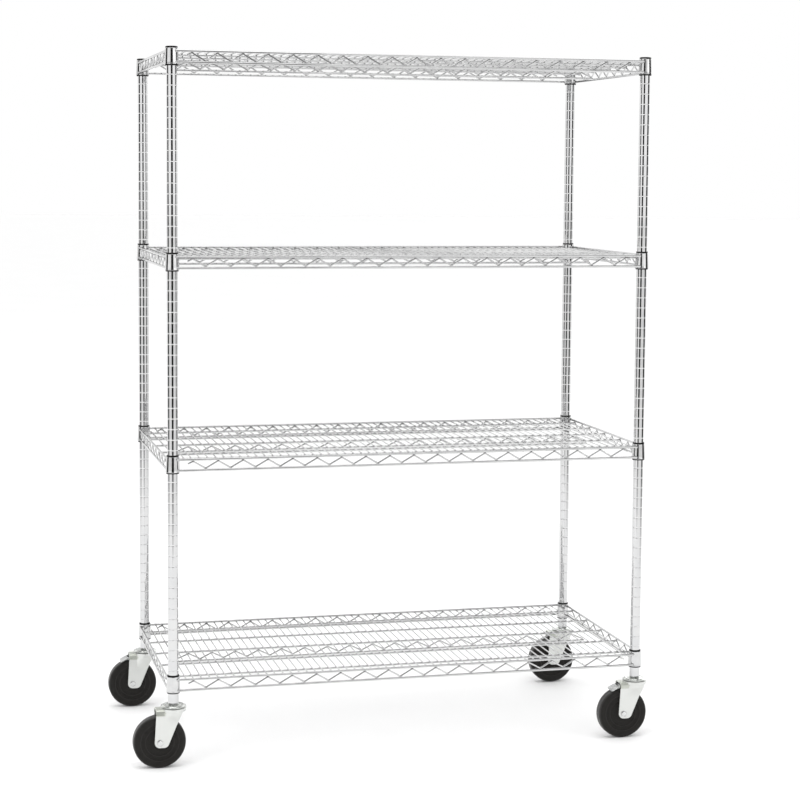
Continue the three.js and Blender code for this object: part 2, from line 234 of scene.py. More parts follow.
def turned(form, profile, sides, mat=0, axis="z", hexagon=None, sweep=None):
    """A ring or disc turned from (radius, height) points.

    The profile starts and ends on the axis, or closes on itself. The height runs along +Z, or
    along +Y with axis="y". hexagon=(across flats, ring numbers) cuts those rings to a hexagon.
    sweep=(start, stop) turns only that sector and closes its two ends. mat may be a list with
    one material number for each segment of a closed profile."""
    full = sweep is None
    start, stop = sweep or (0, 2 * math.pi)
    count = sides if full else sides + 1
    angles = start + (stop - start) * np.arange(count) / sides
    verts, rows, first = [], [], 0
    for k, (radius, height) in enumerate(profile):
        if radius == 0:
            ring = np.array([[0.0, 0.0, height]])
        else:
            radii = np.full(count, float(radius))
            if hexagon and k in hexagon[1]:
                off_flat = np.mod(angles, math.pi / 3) - math.pi / 6
                radii = np.minimum(radii, hexagon[0] / 2 / np.cos(off_flat))
            ring = np.stack([radii * np.cos(angles), radii * np.sin(angles),
                             np.full(count, height)], 1)
        verts.append(ring)
        rows.append((first, len(ring)))
        first += len(ring)
    pairs = list(zip(rows, rows[1:]))
    if profile[0][0] != 0:
        pairs.append((rows[-1], rows[0]))
    faces = []
    for (row_a, size_a), (row_b, size_b) in pairs:
        if size_a == 1:
            faces += [(row_a, row_b + i, row_b + (i + 1) % size_b) for i in range(size_b)]
        elif size_b == 1:
            faces += [(row_a + (i + 1) % size_a, row_a + i, row_b) for i in range(size_a)]
        else:
            faces += bridge(row_a, row_b, count, closed=full)
    if not full:
        faces.append(tuple(row for row, _ in rows))
        faces.append(tuple(row + size - 1 for row, size in reversed(rows)))
    verts = np.vstack(verts)
    if axis == "y":
        verts = verts[:, [1, 2, 0]]
    if isinstance(mat, list):
        mat = [segment for segment in mat for _ in range(sides)]
    form.add(verts, faces, mat)


def path_normals(path):
    """Unit normals of a flat path, a quarter turn from its direction."""
    tangents = unit_rows(np.gradient(path, axis=0))
    return np.stack([-tangents[:, 1], tangents[:, 0]], 1)


def sheet(form, path, edges, thick, columns, corner, bulge, flare):
    """A bent sheet: a rounded flat section carried along a path in Y and Z.

    edges(y, z) gives the section's two X ends; bulge(x, y, z) pushes it along its normal and
    flare(x, y, z) away from the plane y = 0. Going up at -Y and down at +Y, the normals point
    outward."""
    path = np.asarray(path, float)
    normals = path_normals(path)
    half = thick / 2
    arc = [(math.cos(a), math.sin(a)) for a in (0.0, math.pi / 6, math.pi / 3, math.pi / 2)]
    verts = []
    for (path_y, path_z), (normal_y, normal_z) in zip(path, normals):
        left, right = edges(path_y, path_z)
        ring = [(left + corner - corner * c, half - corner + corner * s) for c, s in arc]
        for k in range(1, columns):
            ring.append((left + corner + (right - left - 2 * corner) * k / columns, half))
        ring += [(right - corner + corner * c, half - corner + corner * s)
                 for c, s in reversed(arc)]
        ring += [(x, -out) for x, out in reversed(ring)]
        for x, out in ring:
            push = bulge(x, path_y, path_z)
            y = path_y + normal_y * out + normal_y * push
            z = path_z + normal_z * out + normal_z * push
            verts.append((x, y + math.copysign(flare(x, path_y, path_z), path_y), z))
    count = len(ring)
    last = (len(path) - 1) * count
    faces = []
    for i in range(len(path) - 1):
        faces += bridge(i * count, (i + 1) * count, count)
    faces += end_strips(0, count)
    faces += [tuple(reversed(quad)) for quad in end_strips(last, count)]
    form.add(verts, faces)


def cut_away(body_mesh, cutter):
    """The body mesh less the cutter form, as a Form."""
    scene_objects = bpy.context.scene.collection.objects
    body = bpy.data.objects.new("tmp_body", body_mesh)
    tool = bpy.data.objects.new("tmp_cut", cutter.raw_mesh("tmp_cut"))
    for item in (body, tool):
        scene_objects.link(item)
    cut = body.modifiers.new("cut", "BOOLEAN")
    cut.operation, cut.solver, cut.object = "DIFFERENCE", "EXACT", tool
    depsgraph = bpy.context.evaluated_depsgraph_get()
    done = bpy.data.meshes.new_from_object(body.evaluated_get(depsgraph), depsgraph=depsgraph)
    for item in (body, tool):
        bpy.data.objects.remove(item)
    out = Form()
    out.add([vert.co[:] for vert in done.vertices],
            [tuple(face.vertices) for face in done.polygons])
    bpy.data.meshes.remove(done)
    return out


def add_cutter(cutter, centre, radius, low, high, sides, axis):
    """A cylinder through `centre`, reaching from low to high along its axis."""
    tool = Form()
    turned(tool, [(0, low), (radius, low), (radius, high), (0, high)], sides, axis=axis)
    cutter.join(tool, centre)


def plate(form, outline, low, high, hole, bevel):
    """A flat plate in X and Z from y = low to y = high, its edges rounded over.
    hole is the (x, z, radius) of a hole through it."""
    mesh = bpy.data.meshes.new("tmp_plate")
    edit = bmesh.new()
    face = edit.faces.new([edit.verts.new((x, low, z)) for x, z in outline])
    grown = bmesh.ops.extrude_face_region(edit, geom=[face])["geom"]
    far = [item for item in grown if isinstance(item, bmesh.types.BMVert)]
    bmesh.ops.translate(edit, vec=(0, high - low, 0), verts=far)
    bmesh.ops.recalc_face_normals(edit, faces=edit.faces)
    rim = [edge for edge in edit.edges
           if any(all(abs(vert.co.y - y) < 1e-6 for vert in edge.verts) for y in (low, high))]
    bmesh.ops.bevel(edit, geom=rim, offset=bevel, segments=3, profile=0.5, affect="EDGES",
                    clamp_overlap=True)
    edit.to_mesh(mesh)
    edit.free()
    x, z, radius = hole
    cutter = Form()
    add_cutter(cutter, (x, 0, z), radius, low - 2, high + 2, sides=28, axis="y")
    form.join(cut_away(mesh, cutter), (0, 0, 0))


# ---------------------------------------------------------------- shader nodes
class Nodes:
    """The node tree of a material or world. Most methods add a node and give its output."""

    def __init__(self, owner):
        owner.use_nodes = True
        self.tree = owner.node_tree
        self.tree.nodes.clear()

    def set(self, node, inputs):
        """Give inputs a number, an RGB colour or another node's output."""
        for key, value in inputs.items():
            if isinstance(value, bpy.types.NodeSocket):
                self.tree.links.new(value, node.inputs[key])
            elif isinstance(value, tuple):
                node.inputs[key].default_value = (*value, 1)
            else:
                node.inputs[key].default_value = value

    def new(self, kind, inputs=None):
        node = self.tree.nodes.new("ShaderNode" + kind)
        self.set(node, inputs or {})
        return node

    def split(self, vector):
        return self.new("SeparateXYZ", {0: vector}).outputs

    def noise(self, coords, scale, detail=3.0, rough=0.55, stretch=None):
        if stretch is not None:
            mapping = self.new("Mapping", {"Vector": coords})
            mapping.inputs["Scale"].default_value = stretch
            coords = mapping.outputs["Vector"]
        node = self.new("TexNoise", {"Scale": scale, "Detail": detail, "Roughness": rough,
                                     "Vector": coords})
        return node.outputs["Fac"]

    def ramp(self, factor, stops):
        node = self.new("ValToRGB", {"Fac": factor})
        elements = node.color_ramp.elements
        while len(elements) < len(stops):
            elements.new(0.5)
        for element, (position, colour) in zip(elements, stops):
            element.position = position
            element.color = (*colour, 1)
        return node.outputs["Color"]

    def greys(self, factor, stops):
        return self.ramp(factor, [(position, (tone,) * 3) for position, tone in stops])

    def remap(self, value, source, target):
        """Carry the source range onto the target range."""
        node = self.new("MapRange", {"From Min": source[0], "From Max": source[1],
                                     "To Min": target[0], "To Max": target[1],
                                     "Value": value})
        return node.outputs["Result"]

    def mix(self, factor, first, second, blend="MIX"):
        node = self.new("Mix")
        node.data_type, node.blend_type = "RGBA", blend
        self.set(node, {0: factor, 6: first, 7: second})
        return node.outputs[2]

    def math(self, operation, *values):
        node = self.new("Math")
        node.operation = operation
        self.set(node, dict(enumerate(values)))
        return node.outputs[0]

    def bump(self, height, strength, distance, below=None):
        node = self.new("Bump", {"Strength": strength, "Distance": distance, "Height": height})
        if below is not None:
            self.set(node, {"Normal": below})
        return node.outputs["Normal"]


# ---------------------------------------------------------------- materials
def new_material(name):
    """The material, its nodes, its surface shader and its object coordinates (metres)."""
    material = bpy.data.materials.new(name)
    nodes = Nodes(material)
    output = nodes.new("OutputMaterial")
    surface = nodes.new("BsdfPrincipled")
    nodes.set(output, {"Surface": surface.outputs["BSDF"]})
    return material, nodes, surface, nodes.new("TexCoord").outputs["Object"]


def metal(name, dark, light, gloss, scale, ripple, grain=None, spots=0.0, metallic=1.0):
    """Plated metal: cloudy tone, uneven gloss, a fine ripple and small dull spots.
    gloss is the roughness range and grain stretches the ripple."""
    material, nodes, surface, coords = new_material(name)
    cloud = nodes.noise(coords, scale=scale, detail=4.0)
    colour = nodes.ramp(cloud, [(0.32, dark), (0.68, light)])
    fine = nodes.noise(coords, scale=scale * 7, detail=2.0, rough=0.6, stretch=grain)
    if spots:
        cells = nodes.new("TexVoronoi", {"Scale": scale * 4, "Vector": coords})
        dots = nodes.remap(cells.outputs["Distance"], source=(0.0, 0.16), target=(spots, 0.0))
        colour = nodes.mix(dots, colour, tuple(tone * 0.72 for tone in dark))
    nodes.set(surface, {
        "Base Color": colour,
        "Roughness": nodes.remap(fine, source=(0.3, 0.7), target=gloss),
        "Metallic": metallic,
        "Normal": nodes.bump(fine, strength=ripple, distance=0.0004),
    })
    return material


wire_chrome = metal("wire_chrome", dark=(0.55, 0.552, 0.555), light=(0.63, 0.63, 0.63),
                    gloss=(0.08, 0.15), scale=26, ripple=0.05, spots=0.2)
tube_chrome = metal("tube_chrome", dark=(0.60, 0.603, 0.61), light=(0.655, 0.655, 0.655),
                    gloss=(0.05, 0.09), scale=18, ripple=0.012, grain=(1, 1, 0.12), spots=0.06)
collar_chrome = metal("collar_chrome", dark=(0.56, 0.562, 0.565), light=(0.64, 0.64, 0.64),
                      gloss=(0.07, 0.13), scale=60, ripple=0.05, spots=0.3)
weld_chrome = metal("weld_chrome", dark=(0.16, 0.16, 0.16), light=(0.34, 0.34, 0.34),
                    gloss=(0.25, 0.42), scale=240, ripple=0.35)
# darker zinc painted as shade on the fork's pressed shoulders and crown top
zinc_painted_shade = metal("zinc_painted_shade", dark=(0.50, 0.52, 0.465), light=(0.63, 0.65, 0.595),
                  gloss=(0.28, 0.36), scale=60, ripple=0.05, spots=0.1, metallic=0.70)
zinc_plate = metal("zinc_plate", dark=(0.640, 0.650, 0.630), light=(0.656, 0.666, 0.648),
                   gloss=(0.275, 0.295), scale=12, ripple=0.005, grain=(1, 1, 0.25),
                   metallic=0.76)
race_zinc = metal("race_zinc", dark=(0.56, 0.58, 0.555), light=(0.70, 0.715, 0.69),
                  gloss=(0.12, 0.20), scale=40, ripple=0.05)
# near-black metal painted as the shade in the gap under the raceway disc
race_gap_painted_shade = metal("race_gap_painted_shade", dark=(0.010, 0.010, 0.009), light=(0.022, 0.021, 0.019),
                    gloss=(0.45, 0.60), scale=300, ripple=0.20, metallic=0.2)
# the grooves' faces: rougher plating, with a lighter tone than the tube painted in as highlight
# so the grooves read bright
groove_satin_painted_light = metal("groove_satin_painted_light", dark=(0.72, 0.72, 0.72), light=(0.79, 0.79, 0.79),
                     gloss=(0.34, 0.46), scale=120, ripple=0.10, metallic=0.60)
pedal_zinc = metal("pedal_zinc", dark=(0.52, 0.53, 0.53), light=(0.62, 0.63, 0.62),
                   gloss=(0.20, 0.28), scale=40, ripple=0.03, grain=(0.25, 1, 1))
fastener_steel = metal("fastener_steel", dark=(0.58, 0.585, 0.58), light=(0.70, 0.705, 0.70),
                       gloss=(0.18, 0.30), scale=120, ripple=0.10)


def black_plastic(name, tone, rough):
    """Moulded plastic: cloudy near-black tone and gloss under a fine skin."""
    material, nodes, surface, coords = new_material(name)
    cloud = nodes.noise(coords, scale=90)
    colour = nodes.ramp(cloud, [(0.35, (tone, tone, tone)),
                                (0.75, (tone * 1.9, tone * 1.85, tone * 1.8))])
    skin = nodes.noise(coords, scale=1800, detail=2.0, rough=0.7)
    nodes.set(surface, {
        "Base Color": colour,
        "Roughness": nodes.remap(cloud, source=(0.3, 0.7), target=(rough - 0.06, rough + 0.1)),
        "Specular IOR Level": 0.12,
        "Normal": nodes.bump(skin, strength=0.25, distance=0.0001),
    })
    return material


cap_black = black_plastic("cap_black", tone=0.005, rough=0.46)
sleeve_black = black_plastic("sleeve_black", tone=0.004, rough=0.50)

# painted highlight on the wheel's sides from axle to tread, lighter grey at the two moulded
# rings and a little lighter over the outer band: (distance over WHEEL_REACH, amount)
WHEEL_RING_HIGHLIGHT = [(0.0, 0.0), (0.505, 0.0), (0.535, 0.4), (0.565, 0.0), (0.700, 0.0),
              (0.722, 0.55), (0.748, 0.06), (1.0, 0.08)]
WHEEL_REACH = 0.064         # metres
MOULD_RING_PITCH = 0.0011   # metres


def rubber():
    """Hard black wheel compound: a tread lightened partly by scuffs and partly as painted
    sheen, turned rings, and lighter grey rings on the sides painted as highlight.
    """
    material, nodes, surface, coords = new_material("wheel_rubber")
    mottled = nodes.noise(coords, scale=70, detail=5.0, rough=0.6)
    base = nodes.ramp(mottled, [(0.30, (0.0082, 0.0075, 0.0066)),
                                (0.72, (0.0152, 0.0141, 0.0126))])
    # distance from the axle, for the tread band and the moulding rings
    parts = nodes.split(coords)
    flat = nodes.new("CombineXYZ", {"X": parts["X"], "Z": parts["Z"]})
    length = nodes.new("VectorMath", {0: flat.outputs[0]})
    length.operation = "LENGTH"
    radius = length.outputs["Value"]

    # the tread band lightened in noisy patches: partly scuffs, partly a painted sheen
    tread = nodes.remap(radius, source=(0.0575, 0.0632), target=(0.0, 1.0))
    scuff = nodes.noise(coords, scale=210, detail=4.0, rough=0.65, stretch=(1, 0.35, 1))
    scuff = nodes.remap(scuff, source=(0.48, 0.66), target=(0.0, 0.32))
    tread_scuff_and_sheen = nodes.math("MULTIPLY", tread, scuff)
    band = nodes.remap(radius, source=(0.0, WHEEL_REACH), target=(0.0, 1.0))
    # lighter grey on the sides, painted as highlight on the rings
    ring_highlit = nodes.mix(nodes.greys(band, WHEEL_RING_HIGHLIGHT), base, (0.034, 0.0325, 0.0315))

    ring_phase = nodes.math("MULTIPLY", radius, 2 * math.pi / MOULD_RING_PITCH)
    rings = nodes.bump(nodes.math("SINE", ring_phase), strength=0.10, distance=0.0001)
    grain = nodes.noise(coords, scale=900, rough=0.6)
    nodes.set(surface, {
        "Base Color": nodes.mix(tread_scuff_and_sheen, ring_highlit, (0.06, 0.058, 0.056)),
        "Roughness": nodes.remap(mottled, source=(0.3, 0.7), target=(0.36, 0.50)),
        # the tread shines a little, the sides are dull
        "Specular IOR Level": nodes.remap(radius, source=(0.0592, 0.0628), target=(0.14, 0.50)),
        "Normal": nodes.bump(grain, strength=0.25, distance=0.0002, below=rings),
    })
    return material


wheel_rubber = rubber()


def nylon():
    """Cream plastic of the axle bushes."""
    material, nodes, surface, coords = new_material("bush_nylon")
    cloud = nodes.noise(coords, scale=140)
    skin = nodes.noise(coords, scale=1200, detail=2.0)
    nodes.set(surface, {
        "Base Color": nodes.ramp(cloud, [(0.3, (0.60, 0.57, 0.48)), (0.7, (0.74, 0.71, 0.62))]),
        "Roughness": nodes.remap(cloud, source=(0.3, 0.7), target=(0.38, 0.55)),
        "Normal": nodes.bump(skin, strength=0.2, distance=0.0001),
    })
    return material


bush_nylon = nylon()


# ---------------------------------------------------------------- placing a piece
def place(name, mesh, body, node, at):
    """Stand a mesh at a place in metres, riding on a body in the stead of a CAD node."""
    piece = bpy.data.objects.new(name, mesh)
    bpy.context.scene.collection.objects.link(piece)
    piece.matrix_world = Matrix.Translation(at)
    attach(piece, body)
    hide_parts(node)


# ---------------------------------------------------------------- the wire shelf
WIRE, COLLAR, WELD = range(3)           # material numbers of the shelf
RAIL_R, ZIGZAG_R, BEARER_R, DECK_R = 3.0, 2.0, 2.9, 1.6
RAIL_DROP = 26.0                        # top rail down to bottom rail
RAIL_ZS = (0.0, -RAIL_DROP)
RAIL_OUT_X, RAIL_OUT_Y = 12.0, 13.5     # post axis out to the rails
RAIL_X, RAIL_Y = HALF_X + RAIL_OUT_X, HALF_Y + RAIL_OUT_Y
RAIL_END_GAP = 9.6                      # post axis to the ends of the rails

ZIGZAG_BEND = 4.6
LONG_STEP, LONG_HALF = 60.4 / 2, 9 * 60.4   # apex to apex; rack centre to the last apex
SIDE_STEP, SIDE_HALF = 30.0, 240.0
ZIGZAG_HIGH, ZIGZAG_LOW = -4.6, -21.7
ZIGZAG_WELD = 2.9                       # weld centre from the middle of the rail

BEARER_YS = [k * 121.5 for k in range(-2, 3)]
BEARER_Z = -6.5
TRUSS_Z, TRUSS_HALF = -30.2, 552        # bottom wire of the middle truss
TRUSS_WELD = 2.8

DECK_Z = -2.1
DECK_PITCH = 20.07
DECK_XS = [k * DECK_PITCH for k in range(-27, 28)] + [-559.5, 559.5]
SHORT_DECK_XS, SHORT_DECK_HALF = (-577.0, 577.0), 249.5     # between the collars

# the wedge sleeve under each collar, heights from the middle of the top rails
SLEEVE_TOP, SLEEVE_BOTTOM = 10.5, -34.2
SLEEVE_R_TOP, SLEEVE_R_BOTTOM = 13.85, 15.35
COLLAR_CLEARANCE = 0.32


def sleeve_outer(z):
    drop = (SLEEVE_TOP - z) / (SLEEVE_TOP - SLEEVE_BOTTOM)
    return SLEEVE_R_TOP + drop * (SLEEVE_R_BOTTOM - SLEEVE_R_TOP)


def collar_bore(z):
    return sleeve_outer(z) + COLLAR_CLEARANCE


def collar_outer(z):
    return 15.3 + (COLLAR_TOP - z) / (COLLAR_TOP - COLLAR_BOTTOM) * 1.7


def bead(form, centre, radii, sides=8, rings=4):
    """A small flattened weld nugget."""
    unit = [(0, 0, 1)]
    for k in range(1, rings):
        down = math.pi * k / rings
        for i in range(sides):
            turn = 2 * math.pi * i / sides
            unit.append((math.sin(down) * math.cos(turn), math.sin(down) * math.sin(turn),
                         math.cos(down)))
    unit.append((0, 0, -1))
    faces = []
    for k in range(rings - 2):
        faces += bridge(1 + k * sides, 1 + (k + 1) * sides, sides)
    last = 1 + (rings - 2) * sides
    for i in range(sides):
        after = (i + 1) % sides
        faces += [(0, 1 + i, 1 + after), (last + sides, last + after, last + i)]
    form.add(np.array(unit, float) * radii + np.asarray(centre, float), faces, WELD)


def zigzag(half, step, high, low, starts_high):
    """Apexes of a zigzag as (distance along, height)."""
    return [(-half + k * step, high if (k % 2 == 0) == starts_high else low)
            for k in range(int(round(2 * half / step)) + 1)]


def with_tails(apexes, step, tail):
    """A zigzag that starts high, carried on a little past both ends and sloping down."""
    drop = (ZIGZAG_HIGH - ZIGZAG_LOW) / step * tail * 0.8
    (first, first_z), (last, last_z) = apexes[0], apexes[-1]
    return [(first - tail, first_z - drop), *apexes, (last + tail, last_z - drop)]


def zigzag_wire(form, points, apexes, high_weld, low_weld, weld, spot):
    """A bent wire with a weld at each apex. spot(along, z) gives the place on the shelf."""
    rod(form, rounded([spot(along, z) for along, z in points], ZIGZAG_BEND), ZIGZAG_R)
    high = max(z for _, z in apexes)
    for along, z in apexes:
        bead(form, spot(along, high_weld if z == high else low_weld), weld)


def add_rails(form):
    """Top and bottom rails, ending against the collars."""
    end_x, end_y = HALF_X - RAIL_END_GAP, HALF_Y - RAIL_END_GAP
    for side in (-1, 1):
        for z in RAIL_ZS:
            rod(form, [(-end_x, side * RAIL_Y, z), (end_x, side * RAIL_Y, z)], RAIL_R, 14)
    for side in (-1, 1):
        for z in RAIL_ZS:
            rod(form, [(side * RAIL_X, -end_y, z), (side * RAIL_X, end_y, z)], RAIL_R, 14)


def add_rail_zigzags(form):
    """Bent wires between the top and bottom rails on all four sides."""
    welds = {"high_weld": -ZIGZAG_WELD, "low_weld": -RAIL_DROP + ZIGZAG_WELD}
    apexes = zigzag(LONG_HALF, LONG_STEP, ZIGZAG_HIGH, ZIGZAG_LOW, starts_high=True)
    for side in (-1, 1):
        zigzag_wire(form, with_tails(apexes, LONG_STEP, tail=11.0), apexes, **welds,
                    weld=(3.4, 1.5, 1.1), spot=lambda x, z: (x, side * RAIL_Y, z))
    apexes = zigzag(SIDE_HALF, SIDE_STEP, ZIGZAG_HIGH, ZIGZAG_LOW, starts_high=True)
    for side in (-1, 1):
        zigzag_wire(form, with_tails(apexes, SIDE_STEP, tail=10.0), apexes, **welds,
                    weld=(1.5, 3.4, 1.1), spot=lambda y, z: (side * RAIL_X, y, z))


def add_bearers(form):
    """Lengthwise bearers under the deck."""
    end = RAIL_X + 0.6
    for y in BEARER_YS:
        rod(form, [(-end, y, BEARER_Z), (end, y, BEARER_Z)], BEARER_R, 12, flat_ends=True)
        for side in (-1, 1):
            bead(form, (side * RAIL_X, y, -3.3), (1.6, 2.6, 1.2))


def add_truss(form):
    """The middle bearer's lower wire and the zigzag between the two."""
    rod(form, [(-TRUSS_HALF, 0, TRUSS_Z), (TRUSS_HALF, 0, TRUSS_Z)], BEARER_R, 12)
    points = zigzag(LONG_HALF, LONG_STEP, BEARER_Z - 4.5, TRUSS_Z + 4.6, starts_high=False)
    apexes = points[1:-1]
    (first, first_z), (last, last_z) = points[0], points[-1]
    points = [(first - 6, first_z), *apexes, (last + 6, last_z)]
    zigzag_wire(form, points, apexes, high_weld=BEARER_Z - TRUSS_WELD,
                low_weld=TRUSS_Z + TRUSS_WELD, weld=(3.4, 1.5, 1.0),
                spot=lambda x, z: (x, 0, z))


def deck_wire(form, x, half):
    """A wire from front to back, welded to the bearers."""
    rod(form, [(x, -half, DECK_Z), (x, half, DECK_Z)], DECK_R)
    for y in BEARER_YS:
        bead(form, (x, y, -3.65), (2.0, 2.3, 0.75), sides=6, rings=3)


def add_deck(form):
    for x in DECK_XS:
        deck_wire(form, x, RAIL_Y - 1.2)
        for side in (-1, 1):
            bead(form, (x, side * (RAIL_Y - 2.7), -1.7), (1.9, 1.2, 1.5), sides=6, rings=3)
    for x in SHORT_DECK_XS:
        deck_wire(form, x, SHORT_DECK_HALF)


def add_collars(form):
    """Tapered collars with rolled lips, and the welds where the rails meet them."""
    top, bottom = COLLAR_TOP, COLLAR_BOTTOM
    bore_top, bore_bottom = collar_bore(top), collar_bore(bottom)
    outer_top, outer_bottom = collar_outer(top), collar_outer(bottom)
    profile = [
        (bore_bottom, bottom + 0.25), (bore_bottom + 0.3, bottom),
        (outer_bottom - 0.55, bottom), (outer_bottom - 0.1, bottom + 0.25),
        (outer_bottom + 0.12, bottom + 0.8), (outer_bottom + 0.05, bottom + 1.6),
        (collar_outer(bottom + 2.4) - 0.02, bottom + 2.4),
        *((collar_outer(z), z) for z in (-24.0, -16.0, -8.0, 0.0, top - 2.2)),
        (outer_top + 0.1, top - 1.4), (outer_top + 0.08, top - 0.6),
        (outer_top - 0.25, top - 0.12), (outer_top - 0.6, top),
        (bore_top + 0.2, top), (bore_top, top - 0.25),
        *((collar_bore(z), z) for z in (0.0, -16.0)),
    ]
    weld_in, weld_back = 0.9, 1.2       # weld centre inside the rail's middle, off the collar
    for side_x in (-1, 1):
        for side_y in (-1, 1):
            collar = Form()
            turned(collar, profile, sides=56, mat=COLLAR)
            form.join(collar, (side_x * HALF_X, side_y * HALF_Y, 0))
            for z in RAIL_ZS:
                # where the line of each rail meets the collar's face
                meet_x = math.sqrt(collar_outer(z) ** 2 - RAIL_OUT_Y ** 2)
                meet_y = math.sqrt(collar_outer(z) ** 2 - RAIL_OUT_X ** 2)
                bead(form, (side_x * (HALF_X - meet_x - weld_back),
                            side_y * (RAIL_Y - weld_in), z), (3.4, 2.6, 3.6), 10, 6)
                bead(form, (side_x * (RAIL_X - weld_in),
                            side_y * (HALF_Y - meet_y - weld_back), z), (2.6, 3.4, 3.6), 10, 6)


def shelf_form():
    """One shelf round its own centre, height 0 at the middle of its top rails."""
    form = Form()
    add_rails(form)
    add_rail_zigzags(form)
    add_bearers(form)
    add_truss(form)
    add_deck(form)
    add_collars(form)
    return form


shelf_mesh = shelf_form().mesh("wire_shelf", [wire_chrome, collar_chrome, weld_chrome])
for shelf in SHELVES:
    place(f"wire_shelf_{shelf}", shelf_mesh, "frame", f"shelf_{shelf}",
          at=SHELF_AT[shelf])


# ---------------------------------------------------------------- posts, caps and sleeves
POST_R, POST_WALL = 12.7, 1.2
GROOVE_FIRST, GROOVE_PITCH = -12.7, 25.4
GROOVE_DEPTH, GROOVE_REACH = 0.45, 1.1      # reach is half the groove's width
GROOVE_STEPS = (-1.0, -0.74, -0.48, -0.24, 0.0, 0.24, 0.48, 0.74, 1.0)


def post_form(height):
    """Grooved tube, 0 at its top end, running down. Material 0 tube, 1 groove, lighter than the
    tube as a painted highlight.
    """
    outer, bore = POST_R, POST_R - POST_WALL
    # the close rings beside each edge keep the long faces flat in the light
    profile = [(bore, -height + 0.9), (bore, -height + 0.4), (bore + 0.3, -height),
               (outer - 0.4, -height), (outer, -height + 0.4), (outer, -height + 0.7)]
    mats = [0] * len(profile)
    grooves = []
    middle = GROOVE_FIRST
    while middle > -height + 8:
        grooves.append(middle)
        middle -= GROOVE_PITCH
    for middle in reversed(grooves):
        profile.append((outer, middle - 2.1))
        for step in GROOVE_STEPS:
            depth = GROOVE_DEPTH * (0.5 + 0.5 * math.cos(math.pi * step))
            profile.append((outer - depth, middle + step * GROOVE_REACH))
        profile.append((outer, middle + 2.1))
        mats += [0] * 2 + [1] * 6 + [0] * 3
    profile += [(outer, -0.7), (outer, -0.4), (outer - 0.4, 0.0), (bore + 0.3, 0.0),
                (bore, -0.4), (bore, -0.9)]
    mats += [0] * (len(profile) - len(mats))
    form = Form()
    turned(form, profile, sides=40, mat=mats)
    return form


def cap_form():
    """Plug with a low domed head, 0 at the post's top end."""
    form = Form()
    turned(form, [
        (0, -11.6), (9.6, -11.6), (10.7, -11.0), (11.1, -10.0), (11.05, -6.0), (11.15, -4.0),
        (11.05, -2.0), (11.1, 0.25), (12.3, 0.3), (12.75, 0.5), (12.9, 0.95), (12.85, 1.5),
        (12.5, 2.0), (11.7, 2.32), (9.5, 2.5), (6.0, 2.62), (0, 2.7),
    ], sides=56)
    return form


def sleeve_form():
    """Two half shells of a split wedge sleeve, with a rib inside for the post's groove."""
    bore, rib_z = 13.05, -3.8
    rib_bore = bore - 0.8 * (1 - 0.5 / 1.3)
    profile = [
        (13.35, SLEEVE_BOTTOM), (bore, -33.9),
        (bore, rib_z - 1.35), (rib_bore, rib_z - 0.5), (rib_bore, rib_z + 0.5),
        (bore, rib_z + 1.35), (bore, 10.1), (13.4, SLEEVE_TOP), (13.95, SLEEVE_TOP),
        (14.3, 10.25), (14.45, 9.7), (14.45, 7.75), (14.3, 7.3),
        (sleeve_outer(7.2) + 0.02, 7.15),
        *((sleeve_outer(z), z) for z in (0.0, -16.0, -31.0)),
        (15.35, -31.5), (15.5, -32.0), (15.5, -33.6), (15.3, -34.0), (15.0, SLEEVE_BOTTOM),
    ]
    gap = math.asin(0.4 / 14)
    form = Form()
    for start in (0.0, math.pi):
        turned(form, profile, sides=28, sweep=(start + gap, start + math.pi - gap))
    return form


post_mesh = post_form(POST_HEIGHT).mesh("grooved_post", [tube_chrome, groove_satin_painted_light], sharp=50)
cap_mesh = cap_form().mesh("post_cap", [cap_black])
sleeve_mesh = sleeve_form().mesh("split_sleeve", [sleeve_black])

for corner in CORNERS:
    x, y, top = POST_AT[corner]
    place(f"grooved_post_{corner}", post_mesh, "frame", f"post_{corner}",
          at=(x, y, top))
    place(f"black_cap_{corner}", cap_mesh, "frame", f"post_cap_{corner}",
          at=(x, y, top))
    for shelf in SHELVES:
        place(f"split_sleeve_{shelf}_{corner}", sleeve_mesh, "frame",
              f"sleeve_{shelf}_{corner}", at=(x, y, SHELF_AT[shelf][2]))


# ---------------------------------------------------------------- casters
# Each is built round its post's axis with heights from the floor, the wheel trailing to -X.
# The wheel, bush, bolt and nut are built round the wheel's centre instead.
LEG_MID, CROWN_MID, FORK_BEND = 18.5, 142.0, 5.5    # the fork sheet's middle surface
CROWN_HALF = LEG_MID - FORK_BEND                    # flat part of the crown
FORK_SHEET = 3.0
PAN_R = 30.2                                        # round that the leg tops swell to

# heights of the leg's rows, close together at the foot of the pressed shoulder
LEG_ZS = [
    51.15, 51.4, 51.9, 52.7, 53.8, 55.3, 57.2, 59.5, 62.0, 65.0, 69.0, 74.0, 80.0, 87.0, 94.0,
    101.0, 108.0, 115.0, 121.0, 125.0, 127.6, 128.2, 128.7, 129.2, 129.8, 130.6, 132.0, 134.0,
    CROWN_MID - FORK_BEND,
]


def smooth(amount):
    """0 to 1, eased at both ends and held outside them."""
    amount = min(1.0, max(0.0, amount))
    return amount * amount * (3 - 2 * amount)


def fork_left(z):
    """X of the fork's left edge: rounded below the axle, leaning in above it."""
    if z >= AXLE_Z:
        return -TRAIL - 13.2 + min(1.0, (z - AXLE_Z) / 66.5) * 3.9
    return -TRAIL - 13.2 * math.sqrt(max(0.0, 1 - ((AXLE_Z - z) / 12.5) ** 2))


def fork_right(z):
    """X of the fork's right edge: rounded at the foot, then a straight slope."""
    if z > 58.5:
        return -11.5 + (z - 63.0) * 33.5 / 80.5
    return -24.45 + math.sqrt(max(0.0, 12.0 ** 2 - (63.1 - z) ** 2))


